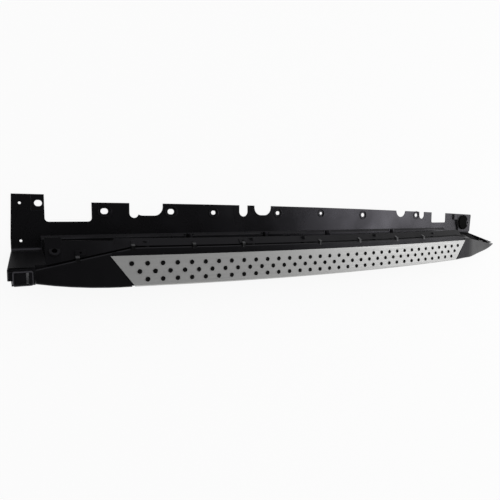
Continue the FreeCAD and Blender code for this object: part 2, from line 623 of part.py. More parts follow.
def make_cover():
    """Outer moulding: deck, nose, skirt, return lip and tail."""
    outer = cover_body(0.0, 0.0, 0.0, DECK_TOP).common(under_roof(0.0))
    cavity = cover_body(WALL, WALL, -1.0, DECK_TOP + 1.0).common(under_roof(WALL))
    shell = outer.common(lip_chamfer()).cut(cavity)

    # The rear wall is only a rim that hangs from the deck
    window = block(COVER_LEFT_X - 5.0, TIP_X + 5.0, -ACROSS, ACROSS, -5.0, DECK_TOP)
    window = window.cut(rear_half_plane(WALL + 1.0, -6.0).extrude(V(0, 0, DECK_TOP + 10.0)))
    shell = shell.cut(window.common(under_roof(RIM_DEPTH)))

    # Thicker deck under the tread, with its pocket, and the groove behind the tread
    thick = tread_face(TREAD_SEAT_MARGIN, DECK_TOP - TREAD_T - MAT_T - WALL)
    thick = thick.extrude(V(0, 0, TREAD_T + MAT_T + WALL))
    thick = thick.common(outer).common(cover_body(WALL - 0.5, WALL - 0.5, 0.0, DECK_TOP))
    shell = shell.fuse(thick)
    pocket = tread_face(GAP, DECK_TOP - TREAD_T, TREAD_FRONT - 10.0).extrude(V(0, 0, TREAD_T + 5.0))
    mat_pocket = tread_face(GAP - MAT_INSET, DECK_TOP - TREAD_T - MAT_T).extrude(V(0, 0, MAT_T + 1.0))
    nose = tread_face(GAP, DECK_TOP - TREAD_LIP - GAP, TREAD_FRONT - 10.0).extrude(V(0, 0, TREAD_LIP + 5.0))
    nose = nose.cut(cover_body(TREAD_T + GAP, 0.0, -1.0, DECK_TOP + 6.0))
    groove_face = tread_face(GROOVE_W, DECK_TOP - GROOVE_DEPTH).cut(tread_face(-2.0, DECK_TOP - GROOVE_DEPTH))
    groove = groove_face.extrude(V(0, 0, GROOVE_DEPTH + 1.0))
    groove = groove.common(block(-TREAD_REAR_HALF + 4, TREAD_REAR_HALF - 4, TREAD_REAR - 1, ACROSS, 0, ACROSS))
    shell = shell.cut([pocket, mat_pocket, nose, groove])

    # Return lip under the carrier's floor, and ribs between the skirt and the carrier's web
    inner = cover_body(WALL - 0.5, WALL, 0.0, DECK_TOP)
    lip_top = FLOOR_TOP - WALL
    lip = block(CARRIER_X0 + 60.0, CARRIER_X1 - 10.0, -60.0, RETURN_LIP_Y, lip_top - WALL, lip_top)
    adds = [lip.common(inner)]
    for x in COVER_RIB_XS:
        rib = block(x - COVER_RIB_T / 2, x + COVER_RIB_T / 2, -60.0, WEB_Y - WALL / 2 - GAP, COVER_RIB_BOTTOM,
                    DECK_TOP - TREAD_T - MAT_T - 1.0)
        adds.append(rib.common(inner))
    shell = shell.fuse(adds)
    holes = [Part.makeCylinder(SCREW_R + 2 * SCREW_CLEARANCE, WALL + 2.0, V(x, SCREW_Y, lip_top - WALL - 1.0))
             for x in SCREW_XS]
    return shell.cut(holes).removeSplitter()


def make_tread():
    """Aluminium plate with a hole for each stud and a lip folded down over the nose."""
    base = DECK_TOP - TREAD_T
    plate = tread_face(0.0, base).extrude(V(0, 0, TREAD_T))
    lip = tread_face(0.0, DECK_TOP - TREAD_LIP, TREAD_FRONT).extrude(V(0, 0, TREAD_LIP))
    outer = cover_body(0.0, 0.0, 0.0, DECK_TOP)
    core = cover_body(TREAD_T, 0.0, -1.0, DECK_TOP + 1.0)
    lip = lip.common(outer).cut(core)
    plate = plate.common(outer).fuse(lip)
    holes = [Part.makeCylinder(STUD_R + STUD_CLEARANCE, TREAD_T + 2.0, V(x, y, base - 1.0))
             for x, y in stud_points()]
    return plate.cut(holes).removeSplitter()


def make_mat():
    """Rubber mat under the plate, with its studs."""
    base = DECK_TOP - TREAD_T - MAT_T
    sheet = tread_face(-MAT_INSET, base).extrude(V(0, 0, MAT_T))
    height = MAT_T + TREAD_T + STUD_HEIGHT
    studs = [Part.makeCylinder(STUD_R, height, V(x, y, base)) for x, y in stud_points()]
    return sheet.fuse(studs).removeSplitter()


def make_front_cap():
    """Cap behind the front closing wall, with the raised box on top."""
    right = COVER_LEFT_X - END_CAP_GAP
    left_low = PLATE_X0 - PLATE_SLANT
    low_front = FRONT_LEFT[0][1] + SKIRT_SLOPE * DECK_TOP
    run = closing_wall_y(1.0) - closing_wall_y(0.0)
    seat = WALL / 2.0 * math.hypot(1.0, run) + GAP

    def body(inset, z0, z1):
        wires = []
        for z in (z0, z1):
            share = z / DECK_TOP
            left = left_low + (END_CAP_X0 - left_low) * share + inset
            front = low_front + (FRONT_LEFT[0][1] - low_front) * share + inset
            wires.append(rectangle_wire(left, right - inset, front, closing_wall_y(z) - seat - inset, z))
        corner = block(END_CAP_X0 - 1.0, END_CAP_X0 + CAP_CORNER_W + inset, -ACROSS, CAP_CORNER_Y + inset, -2.0,
                       DECK_TOP + 1.0)
        return Part.makeLoft(wires, True, True).cut(corner)

    cap = body(0.0, 0.0, DECK_TOP).cut(body(WALL, -1.0, DECK_TOP - WALL))

    # Raised box with a lower shoulder, a pocket and a groove beside a rib
    x0 = END_CAP_X0 + EAR_SHOULDER_W
    x1 = right - 5.0
    y0 = FRONT_LEFT[0][1] + 1.0
    y1 = closing_wall_y(DECK_TOP) - seat - 3.0
    base = DECK_TOP - WALL
    box = block(x0, x1, y0, y1, base, EAR_TOP)
    box = box.makeFillet(2.0 * EAR_CHAMFER, [e for e in box.Edges if e.BoundBox.ZLength > EAR_TOP - base - 0.1])
    box = box.makeChamfer(EAR_CHAMFER, [e for e in box.Edges if e.BoundBox.ZMin > EAR_TOP - 0.01])
    shoulder = block(END_CAP_X0 + 1.0, x0 + EAR_CHAMFER * 2.0, CAP_CORNER_Y + 1.0, y1 - 1.0, base,
                     EAR_TOP - EAR_SHOULDER_DROP)
    ear = box.fuse(shoulder)
    hollow = block(x0 + WALL, x1 - WALL, y0 + WALL, y1 - WALL, base - 1.0, EAR_TOP - 2.0 * WALL)
    rib_x = x1 - EAR_RIB_W
    pocket = block(x0 + WALL, rib_x - EAR_GROOVE_W, y0 + 2.0 * WALL, y1 - WALL, EAR_TOP - EAR_POCKET_DEPTH,
                   EAR_TOP + 1.0)
    groove = block(rib_x - EAR_GROOVE_W, rib_x, y0 + 2.0 * WALL, y1 - WALL, EAR_TOP - EAR_GROOVE_DEPTH, EAR_TOP + 1.0)
    return cap.fuse(ear).cut([hollow, pocket, groove]).removeSplitter()


def make_rear_plate():
    """Hollow raised plate in the flange's rear pocket, with a round boss beside the plug."""
    base = WALL - REAR_POCKET
    plate = rear_plate_outline(0, base, REAR_PLATE_TOP)
    plate = plate.cut(rear_plate_outline(-REAR_PLATE_WALL, base - 1.0, REAR_PLATE_TOP - REAR_PLATE_WALL))
    boss = Part.makeCylinder(PLATE_BOSS_R, PLATE_BOSS_H + REAR_PLATE_WALL,
                             V(PLATE_BOSS_X, PLATE_BOSS_Y, REAR_PLATE_TOP - REAR_PLATE_WALL))
    post = Part.makeCylinder(SCREW_BOSS_R, REAR_PLATE_TOP - base, V(PLATE_BOSS_X, PLATE_BOSS_Y, base))
    tab_x, tab_y = REAR_PLATE[1]
    seam = block(tab_x - 2.0 * REAR_SEAM_W, tab_x - REAR_SEAM_W, tab_y + REAR_GROOVE_W, PLATE_Y,
                 REAR_PLATE_TOP - REAR_SEAM_W, REAR_PLATE_TOP + REAR_SEAM_W)
    stem_hole = Part.makeCylinder(PLUG_STEM_R + GAP, 2.0 * REAR_PLATE_TOP, V(PLUG_X, PLUG_Y, -1.0))
    screw_hole = Part.makeCylinder(SCREW_R + SCREW_CLEARANCE, 2.0 * REAR_PLATE_TOP,
                                   V(PLATE_BOSS_X, PLATE_BOSS_Y, -1.0))
    return plate.fuse([boss, post]).cut([seam, stem_hole, screw_hole]).removeSplitter()


def make_plug():
    """Rubber plug with a rounded head, cut back round the plate's boss."""
    head = Part.makeCylinder(PLUG_R, PLUG_HEIGHT, V(PLUG_X, PLUG_Y, REAR_PLATE_TOP))
    bite = Part.makeCylinder(PLATE_BOSS_R + PLUG_BOSS_GAP, PLUG_HEIGHT + 2.0,
                             V(PLATE_BOSS_X, PLATE_BOSS_Y, REAR_PLATE_TOP - 1.0))
    head = head.cut(bite)
    top = REAR_PLATE_TOP + PLUG_HEIGHT
    head = head.makeChamfer(PLUG_BOSS_GAP, [e for e in head.Edges if e.BoundBox.ZMin > top - 0.1])
    stem = Part.makeCylinder(PLUG_STEM_R, REAR_PLATE_TOP + 1.0, V(PLUG_X, PLUG_Y, 0.0))
    return head.fuse(stem).removeSplitter()


def pad_rise(x, reach):
    """Height of the shelf pad that lies within reach of x, or zero."""
    return max((pad[4] for pad in SHELF_PADS if abs(pad[0] - x) < reach + pad[1] / 2.0), default=0.0)


def make_cover_clip(x):
    """Spring clip that sits on the shelf, or on its pad, and hooks over the cover's rim."""
    rim = cover_rear_y(x)
    t = COVER_CLIP_T
    half = COVER_CLIP_W / 2.0
    top = DECK_TOP + t / 2.0 + 0.05
    edge = rim + SLOT_W + WALL / 2.0
    low_y = edge + COVER_CLIP_REACH
    lift = t + CLIP_GAP + pad_rise(x, half)
    points = [(rim - COVER_CLIP_REACH, top), (edge, top), (low_y, shelf_z(x, low_y) + lift)]
    return prism_x(band(points, t), x - half, x + half)


def make_tail_clip(x):
    """Upright clip that stands on the tail's floor beside the cover's rim."""
    t = TAIL_CLIP_T
    rim = cover_rear_y(x)
    foot = WALL + t / 2.0 + GAP
    upright = rim + TAIL_CLIP_STANDOFF
    top = roof_z(x + TAIL_CLIP_W / 2.0) - t
    points = [(upright + TAIL_CLIP_FOOT, foot), (upright, foot), (rim + t, top)]
    return prism_x(band(points, t), x - TAIL_CLIP_W / 2.0, x + TAIL_CLIP_W / 2.0)


def screw_shape(shank_length):
    """Screw with a tapered head above the origin and its shank below."""
    shank = Part.makeCylinder(SCREW_R, shank_length, V(0, 0, -shank_length))
    head = Part.makeCone(SCREW_HEAD_R, SCREW_HEAD_R - SCREW_HEAD_TAPER, SCREW_HEAD_H)
    drive = Part.makeCylinder(SCREW_DRIVE_R, SCREW_HEAD_H, V(0, 0, SCREW_HEAD_H / 2.0))
    return head.fuse(shank).cut(drive).removeSplitter()


def make_cover_screw(x):
    """Screw from below, through the cover's lip into the carrier's boss."""
    screw = screw_shape(SCREW_LENGTH - SCREW_THROUGH)
    screw.rotate(V(0, 0, 0), V(1, 0, 0), 180.0)
    screw.translate(V(x, SCREW_Y, FLOOR_TOP - 2.0 * WALL))
    return screw


def make_plate_screw():
    """Screw from above, through the rear plate's boss and the flange."""
    seat = REAR_PLATE_TOP + PLATE_BOSS_H
    screw = screw_shape(seat)
    screw.translate(V(PLATE_BOSS_X, PLATE_BOSS_Y, seat))
    return screw


def main():
    """Build each piece and write it to its own file."""
    pieces = {
        "carrier_moulding": make_carrier(),
        "step_cover": make_cover(),
        "tread_plate": make_tread(),
        "stud_mat": make_mat(),
        "front_end_cap": make_front_cap(),
        "rear_end_plate": make_rear_plate(),
        "rear_plug": make_plug(),
        "plate_screw": make_plate_screw(),
    }
    for i, x in enumerate(COVER_CLIP_XS):
        pieces["cover_clip_%d" % (i + 1)] = make_cover_clip(x)
    for i, x in enumerate(TAIL_CLIP_XS):
        pieces["tail_clip_%d" % (i + 1)] = make_tail_clip(x)
    for i, x in enumerate(SCREW_XS):
        pieces["cover_screw_%d" % (i + 1)] = make_cover_screw(x)

    os.makedirs("parts", exist_ok=True)
    for name, shape in pieces.items():
        solids = shape.Solids
        piece = solids[0] if len(solids) == 1 else shape
        piece.translate(V(0, -STEP_OUT, 0))
        piece.exportStep("parts/%s.step" % name)
        box = piece.BoundBox
        print("%-18s solids %d valid %s volume %.0f  X %.0f..%.0f Y %.0f..%.0f Z %.1f..%.1f" % (
            name, len(solids), piece.isValid(), piece.Volume, box.XMin, box.XMax, box.YMin, box.YMax,
            box.ZMin, box.ZMax))


main()
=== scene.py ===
"""Side step bar: finishes, small details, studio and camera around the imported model."""
import logging
import math
from collections.abc import Callable, Iterator
from contextlib import contextmanager
from dataclasses import dataclass, field
from enum import Enum

import bmesh
import bpy
from mathutils import Matrix, Vector


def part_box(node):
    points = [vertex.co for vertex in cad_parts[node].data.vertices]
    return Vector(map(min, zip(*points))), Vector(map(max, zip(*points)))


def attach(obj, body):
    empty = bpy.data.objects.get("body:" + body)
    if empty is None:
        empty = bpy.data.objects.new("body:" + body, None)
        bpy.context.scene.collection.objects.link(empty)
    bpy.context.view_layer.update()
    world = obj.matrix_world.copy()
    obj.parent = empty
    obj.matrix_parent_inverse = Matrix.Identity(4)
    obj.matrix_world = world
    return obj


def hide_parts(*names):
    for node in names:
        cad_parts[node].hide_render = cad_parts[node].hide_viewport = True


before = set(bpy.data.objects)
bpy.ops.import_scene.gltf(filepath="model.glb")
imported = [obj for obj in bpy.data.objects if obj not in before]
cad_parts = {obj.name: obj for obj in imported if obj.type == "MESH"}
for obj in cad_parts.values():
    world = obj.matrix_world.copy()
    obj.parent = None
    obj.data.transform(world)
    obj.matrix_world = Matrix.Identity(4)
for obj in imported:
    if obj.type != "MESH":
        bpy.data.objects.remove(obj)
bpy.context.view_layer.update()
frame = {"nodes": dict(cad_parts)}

LOG = logging.getLogger("side_step")
MM = 0.001
STEP_OUT = 156.0
UPRIGHT = 0.99
FLAT_ANGLE = 0.6
WHITE = (1.0, 1.0, 1.0, 1.0)

# Where the carrier's finish changes to its darker copies with painted shade, in millimetres counted as in
# local().
CHANNEL_LOW = 20.0
CAVITY_X = 812.0
CAVITY_Y = 90.0
CAVITY_LOW = 3.5
TAIL_FLOOR_X = 876.0

Triple = tuple[float, float, float]
Values = dict[str, float | tuple[float, ...]]
Wire = tuple[bpy.types.NodeSocket, bpy.types.NodeSocket]
NewGroup = tuple[bpy.types.NodeTree, bpy.types.Node, bpy.types.Node]
Test = Callable[[bmesh.types.BMFace | bmesh.types.BMEdge | bmesh.types.BMVert], bool]


class Tone(Enum):
    """Base colours of the bar's finishes, and the violet tint painted on the plastics' reflections, as linear
    red, green and blue.
    """

    MOULDING_BLACK = (0.0042, 0.0042, 0.0044)
    COVER_BLACK = (0.0042, 0.0042, 0.0044)
    PLATE_GREY = (0.030, 0.030, 0.031)
    ALUMINIUM = (0.52, 0.52, 0.515)
    # Violet tint on the plastics' reflections: a painted reflection colour standing in for the colour of the
    # studio light.
    SHEEN_VIOLET = (0.88, 0.84, 1.0)
    RUBBER = (0.0035, 0.0035, 0.0035)
    CLIP_STEEL = (0.05, 0.05, 0.052)
    ZINC = (0.14, 0.14, 0.143)
    DUST = (0.20, 0.20, 0.205)


class Slot(Enum):
    """Names of the material slots that the finishes carry."""

    MOULDING = "moulding"
    TREAD = "tread"
    RUBBER = "rubber"
    CLIP = "clip"
    SCREW = "screw"
    END_PLATE = "end_plate"


def local(x: float, y: float, z: float) -> Vector:
    """Point in metres from millimetres counted from the middle row of studs.

    Args:
        x: Place along the bar.
        y: Place inboard of the middle row of studs.
        z: Height above the base.

    Returns:
        The point in the part's frame.
    """
    return Vector((x * MM, (y - STEP_OUT) * MM, z * MM))


def placed(tree: bpy.types.NodeTree, kind: str, values: Values | None = None,
           **settings: str | bpy.types.NodeTree) -> bpy.types.Node:
    """Add a node to a tree.

    Args:
        tree: The node tree.
        kind: The node's type.
        values: Values of its inputs, by their names.
        settings: Its own settings, such as its operation.

    Returns:
        The node.
    """
    node = tree.nodes.new(kind)
    for name, setting in settings.items():
        setattr(node, name, setting)
    for name, value in (values or {}).items():
        node.inputs[name].default_value = value
    return node


def wired(tree: bpy.types.NodeTree, *wires: Wire) -> None:
    """Join pairs of sockets."""
    for source, target in wires:
        tree.links.new(source, target)


def new_group(name: str, inputs: dict[str, float], outputs: tuple[str, ...]) -> NewGroup:
    """Start a shader group with a Vector input, more inputs and its outputs.

    Args:
        name: The group's name.
        inputs: Names and default values of its further inputs.
        outputs: Names of its outputs.

    Returns:
        The group, the node that brings its inputs, and the node that takes its outputs.
    """
    group = bpy.data.node_groups.new(name, "ShaderNodeTree")
    group.interface.new_socket(name="Vector", in_out="INPUT", socket_type="NodeSocketVector")
    for socket_name, value in inputs.items():
        socket = group.interface.new_socket(name=socket_name, in_out="INPUT", socket_type="NodeSocketFloat")
        socket.default_value = value
    for socket_name in outputs:
        group.interface.new_socket(name=socket_name, in_out="OUTPUT", socket_type="NodeSocketFloat")
    return group, placed(group, "NodeGroupInput"), placed(group, "NodeGroupOutput")


def grain_group() -> bpy.types.NodeTree:
    """Moulded grain: a fine leather-like relief with a slow drift in gloss.

    Returns:
        A group with Vector and Scale inputs, and Height and Drift outputs.
    """
    group, enter, leave = new_group("moulded_grain", {"Scale": 900.0}, ("Height", "Drift"))
    pebbles = placed(group, "ShaderNodeTexVoronoi", {"Smoothness": 0.6}, feature="SMOOTH_F1")
    fine = placed(group, "ShaderNodeTexNoise", {"Detail": 3.0})
    drift = placed(group, "ShaderNodeTexNoise", {"Scale": 7.0, "Detail": 2.0})
    mix = placed(group, "ShaderNodeMath", operation="MULTIPLY_ADD")
    fine_share = mix.inputs[1]
    fine_share.default_value = 0.45
    wired(group,
          (enter.outputs["Vector"], pebbles.inputs["Vector"]),
          (enter.outputs["Scale"], pebbles.inputs["Scale"]),
          (enter.outputs["Vector"], fine.inputs["Vector"]),
          (enter.outputs["Scale"], fine.inputs["Scale"]),
          (enter.outputs["Vector"], drift.inputs["Vector"]),
          (fine.outputs["Fac"], mix.inputs[0]),
          (pebbles.outputs["Distance"], mix.inputs[2]),
          (mix.outputs[0], leave.inputs["Height"]),
          (drift.outputs["Fac"], leave.inputs["Drift"]))
    return group


def brush_group() -> bpy.types.NodeTree:
    """Brushed metal: streaks along one axis, with a few longer and deeper ones.

    Returns:
        A group with a Vector input, and Height and Streaks outputs.
    """
    group, enter, leave = new_group("brushed_streaks", {}, ("Height", "Streaks"))
    layers = []
    for stretch in ((6.0, 900.0, 900.0), (22.0, 2600.0, 2600.0)):
        mapping = placed(group, "ShaderNodeMapping", {"Scale": stretch})
        noise = placed(group, "ShaderNodeTexNoise", {"Scale": 1.0, "Detail": 3.0})
        wired(group, (enter.outputs["Vector"], mapping.inputs["Vector"]),
              (mapping.outputs["Vector"], noise.inputs["Vector"]))
        layers.append(noise.outputs["Fac"])
    total = placed(group, "ShaderNodeMath", operation="ADD")
    wired(group,
          (layers[0], total.inputs[0]),
          (layers[1], total.inputs[1]),
          (total.outputs[0], leave.inputs["Height"]),
          (layers[0], leave.inputs["Streaks"]))
    return group


def wear_group() -> bpy.types.NodeTree:
    """Handling wear: sparse fine scuffs and a light settling of dust on level faces.

    Returns:
        A group with Vector, Scuffs and Dust inputs, and Scuff and Dust outputs.
    """
    group, enter, leave = new_group("handling_wear", {"Scuffs": 0.3, "Dust": 0.3}, ("Scuff", "Dust"))
    mapping = placed(group, "ShaderNodeMapping", {"Scale": (9.0, 150.0, 150.0), "Rotation": (0.0, 0.0, 0.5)})
    lines = placed(group, "ShaderNodeTexNoise", {"Scale": 2.0, "Detail": 4.0})
    cut = placed(group, "ShaderNodeMapRange", {"From Min": 0.66, "From Max": 0.74})
    scuffs = placed(group, "ShaderNodeMath", operation="MULTIPLY")
    wired(group,
          (enter.outputs["Vector"], mapping.inputs["Vector"]),
          (mapping.outputs["Vector"], lines.inputs["Vector"]),
          (lines.outputs["Fac"], cut.inputs["Value"]),
          (cut.outputs["Result"], scuffs.inputs[0]),
          (enter.outputs["Scuffs"], scuffs.inputs[1]),
          (scuffs.outputs[0], leave.inputs["Scuff"]))

    geometry = placed(group, "ShaderNodeNewGeometry")
    axes = placed(group, "ShaderNodeSeparateXYZ")
    level = placed(group, "ShaderNodeMapRange", {"From Min": 0.3, "From Max": 1.0})
    cloud = placed(group, "ShaderNodeTexNoise", {"Scale": 22.0, "Detail": 5.0})
    spots = placed(group, "ShaderNodeMapRange", {"From Min": 0.35, "From Max": 0.8})
    settled = placed(group, "ShaderNodeMath", operation="MULTIPLY")
    dust = placed(group, "ShaderNodeMath", operation="MULTIPLY")
    wired(group,
          (geometry.outputs["True Normal"], axes.inputs[0]),
          (axes.outputs["Z"], level.inputs["Value"]),
          (enter.outputs["Vector"], cloud.inputs["Vector"]),
          (cloud.outputs["Fac"], spots.inputs["Value"]),
          (level.outputs["Result"], settled.inputs[0]),
          (spots.outputs["Result"], settled.inputs[1]),
          (settled.outputs[0], dust.inputs[0]),
          (enter.outputs["Dust"], dust.inputs[1]),
          (dust.outputs[0], leave.inputs["Dust"]))
    return group


@dataclass(frozen=True)
class Groups:
    """The shader groups that the finishes share."""

    grain: bpy.types.NodeTree
    brush: bpy.types.NodeTree
    wear: bpy.types.NodeTree

    @classmethod
    def build(cls) -> "Groups":
        """Make each group once."""
        return cls(grain_group(), brush_group(), wear_group())


@dataclass(frozen=True)
class Canvas:
    """A new material with its shader and an Object coordinate, ready for a finish to wire."""

    material: bpy.types.Material
    shader: bpy.types.ShaderNode
    coordinate: bpy.types.NodeSocket

    @classmethod
    def new(cls, name: str) -> "Canvas":
        """Make an empty material around a Principled shader.

        Args:
            name: The material's name.

        Returns:
            The canvas.
        """
        material = bpy.data.materials.new(name)
        material.use_nodes = True
        nodes = material.node_tree.nodes
        shader = nodes["Principled BSDF"]
        coordinate = nodes.new("ShaderNodeTexCoord").outputs["Object"]
        return cls(material, shader, coordinate)

    def node(self, kind: str, values: Values | None = None,
             **settings: str | bpy.types.NodeTree) -> bpy.types.Node:
        """Add a node of one kind, with values and settings."""
        return placed(self.material.node_tree, kind, values, **settings)

    def link(self, source: bpy.types.NodeSocket, target: bpy.types.NodeSocket) -> None:
        """Join two sockets."""
        wired(self.material.node_tree, (source, target))

    def group(self, tree: bpy.types.NodeTree, values: Values | None = None) -> bpy.types.Node:
        """Place a shader group and feed it the Object coordinate.

        Args:
            tree: The group.
            values: Values of its inputs, by their names.

        Returns:
            The group's node.
        """
        node = self.node("ShaderNodeGroup", values, node_tree=tree)
        self.link(self.coordinate, node.inputs["Vector"])
        return node

    def mixed_colour(self, first: bpy.types.NodeSocket | Triple, second: Triple,
                     factor: bpy.types.NodeSocket) -> bpy.types.NodeSocket:
        """Mix two colours by a mask.

        Args:
            first: Colour or colour socket where the mask is 0.
            second: Colour where it is 1.
            factor: The mask.

        Returns:
            The mixed colour's socket.
        """
        mix = self.node("ShaderNodeMix", data_type="RGBA")
        mask, low, high = mix.inputs[0], mix.inputs[6], mix.inputs[7]
        if isinstance(first, bpy.types.NodeSocket):
            self.link(first, low)
        else:
            low.default_value = (*first, 1.0)
        high.default_value = (*second, 1.0)
        self.link(factor, mask)
        return mix.outputs[2]

    def vary_roughness(self, source: bpy.types.NodeSocket, low: float, high: float) -> None:
        """Let a drifting value move the shader's roughness between two values."""
        self.link(self.drifting(source, low, high), self.shader.inputs["Roughness"])

    def drifting(self, source: bpy.types.NodeSocket, low: float, high: float) -> bpy.types.NodeSocket:
        """Map the middle of a noise, 0.3 to 0.7, to a range of its own."""
        values = {"From Min": 0.3, "From Max": 0.7, "To Min": low, "To Max": high}
        node = self.node("ShaderNodeMapRange", values)
        self.link(source, node.inputs["Value"])
        return node.outputs["Result"]

    def bump(self, height: bpy.types.NodeSocket, strength: float, distance: float) -> None:
        """Feed a relief, as deep as a distance in metres, to the shader's normal."""
        node = self.node("ShaderNodeBump", {"Strength": strength, "Distance": distance})
        self.link(height, node.inputs["Height"])
        self.link(node.outputs["Normal"], self.shader.inputs["Normal"])


@dataclass(frozen=True)
class MouldedPlastic:
    """Grained satin polypropylene."""

    name: str
    tone: Tone
    roughness: float = 0.42
    spread: float = 0.08
    grain_scale: float = 900.0
    relief: float = 0.18
    grain_depth: float = 0.2 * MM
    lightest: float = 1.35
    scuffs: float = 0.12
    polish: float = 0.5
    dust: float = 0.004
    specular: float = 0.38
    slot: Slot = Slot.MOULDING

    def make(self, groups: Groups) -> bpy.types.Material:
        """Build the material."""
        canvas = Canvas.new(self.name)
        shader = canvas.shader.inputs
        grain = canvas.group(groups.grain, {"Scale": self.grain_scale})
        wear = canvas.group(groups.wear, {"Scuffs": self.scuffs, "Dust": self.dust})
        lighter = tuple(self.lightest * c for c in self.tone.value)
        drift = canvas.mixed_colour(self.tone.value, lighter, grain.outputs["Drift"])
        canvas.link(canvas.mixed_colour(drift, Tone.DUST.value, wear.outputs["Dust"]), shader["Base Color"])
        smoothest, roughest = self.roughness - self.spread, self.roughness + self.spread
        rough = canvas.drifting(grain.outputs["Drift"], smoothest, roughest)
        polished = canvas.node("ShaderNodeMath", operation="MULTIPLY_ADD")
        polished.inputs[1].default_value = -self.polish
        canvas.link(wear.outputs["Scuff"], polished.inputs[0])
        canvas.link(rough, polished.inputs[2])
        canvas.link(polished.outputs[0], shader["Roughness"])
        shader["Specular IOR Level"].default_value = self.specular
        # The reflections get a painted violet tint, standing in for the colour of the studio light.
        shader["Specular Tint"].default_value = (*Tone.SHEEN_VIOLET.value, 1.0)
        canvas.bump(grain.outputs["Height"], self.relief, self.grain_depth)
        return canvas.material


@dataclass(frozen=True)
class BrushedMetal:
    """Satin metal with fine streaks along the bar."""

    name: str
    tone: Tone
    roughness: float = 0.42
    spread: float = 0.10
    relief: float = 0.12
    streak_depth: float = 0.1 * MM
    darkest: float = 0.86
    metallic: float = 1.0
    slot: Slot = Slot.TREAD

    def make(self, groups: Groups) -> bpy.types.Material:
        """Build the material."""
        canvas = Canvas.new(self.name)
        brush = canvas.group(groups.brush)
        darker = tuple(self.darkest * c for c in self.tone.value)
        streaked = canvas.mixed_colour(darker, self.tone.value, brush.outputs["Streaks"])
        canvas.link(streaked, canvas.shader.inputs["Base Color"])
        canvas.shader.inputs["Metallic"].default_value = self.metallic
        smoothest, roughest = self.roughness - self.spread, self.roughness + self.spread
        canvas.vary_roughness(brush.outputs["Streaks"], smoothest, roughest)
        canvas.bump(brush.outputs["Height"], self.relief, self.streak_depth)
        return canvas.material


@dataclass(frozen=True)
class SoftRubber:
    """Matt rubber with a faint bloom."""

    name: str
    tone: Tone = Tone.RUBBER
    smoothest: float = 0.69
    roughest: float = 0.83
    grain_scale: float = 2200.0
    relief: float = 0.2
    grain_depth: float = 0.2 * MM
    dust: float = 0.01
    specular: float = 0.04
    slot: Slot = Slot.RUBBER

    def make(self, groups: Groups) -> bpy.types.Material:
        """Build the material."""
        canvas = Canvas.new(self.name)
        grain = canvas.group(groups.grain, {"Scale": self.grain_scale})
        wear = canvas.group(groups.wear, {"Dust": self.dust})
        dusty = canvas.mixed_colour(self.tone.value, Tone.DUST.value, wear.outputs["Dust"])
        canvas.link(dusty, canvas.shader.inputs["Base Color"])
        canvas.shader.inputs["Specular IOR Level"].default_value = self.specular
        canvas.vary_roughness(grain.outputs["Drift"], self.smoothest, self.roughest)
        canvas.bump(grain.outputs["Height"], self.relief, self.grain_depth)
        return canvas.material


class Paint(Enum):
    """Finishes of the bar."""

    CARRIER = MouldedPlastic("carrier_satin", Tone.MOULDING_BLACK, roughness=0.28, grain_scale=1400.0,
                             relief=0.08, specular=0.31)
    # The next two are rougher, far less reflective copies of the carrier finish: painted shade in the channel
    # and in the hollow under the tail.
    CHANNEL = MouldedPlastic("channel_matt_painted_shade", Tone.MOULDING_BLACK, roughness=0.40, grain_scale=1400.0,
                             relief=0.12, specular=0.10)
    CAVITY = MouldedPlastic("cavity_matt_painted_shade", Tone.MOULDING_BLACK, roughness=0.72, grain_scale=1400.0,
                            relief=0.16, dust=0.0, specular=0.03)
    COVER = MouldedPlastic("cover_grained", Tone.COVER_BLACK, roughness=0.33, grain_scale=800.0, relief=0.16,
                           specular=0.14)
    CAP = MouldedPlastic("cap_satin", Tone.MOULDING_BLACK, roughness=0.34, grain_scale=1400.0, relief=0.08)
    END_PLATE = MouldedPlastic("end_plate_grained", Tone.PLATE_GREY, roughness=0.46, grain_scale=500.0,
                               relief=0.3, slot=Slot.END_PLATE)
    ALUMINIUM = BrushedMetal("tread_aluminium", Tone.ALUMINIUM, metallic=0.55)
    CLIP = BrushedMetal("clip_steel", Tone.CLIP_STEEL, roughness=0.38, slot=Slot.CLIP)
    SCREW = BrushedMetal("screw_zinc", Tone.ZINC, roughness=0.32, slot=Slot.SCREW)
    RUBBER = SoftRubber("stud_rubber")


@dataclass
class Wardrobe:
    """Built materials, one for each finish."""

    groups: Groups
    made: dict[Paint, bpy.types.Material] = field(default_factory=dict)

    def get(self, paint: Paint) -> bpy.types.Material:
        """Material of a finish, built when it is first asked for."""
        if paint not in self.made:
            self.made[paint] = paint.value.make(self.groups)
        return self.made[paint]

    def dress(self, obj: bpy.types.Object, paint: Paint) -> None:
        """Give an object one finish."""
        obj.data.materials.clear()
        obj.data.materials.append(self.get(paint))


class Pick(Enum):
    """What a selection in edit mode is made of."""

    FACE = "FACE"
    EDGE = "EDGE"
    VERT = "VERT"


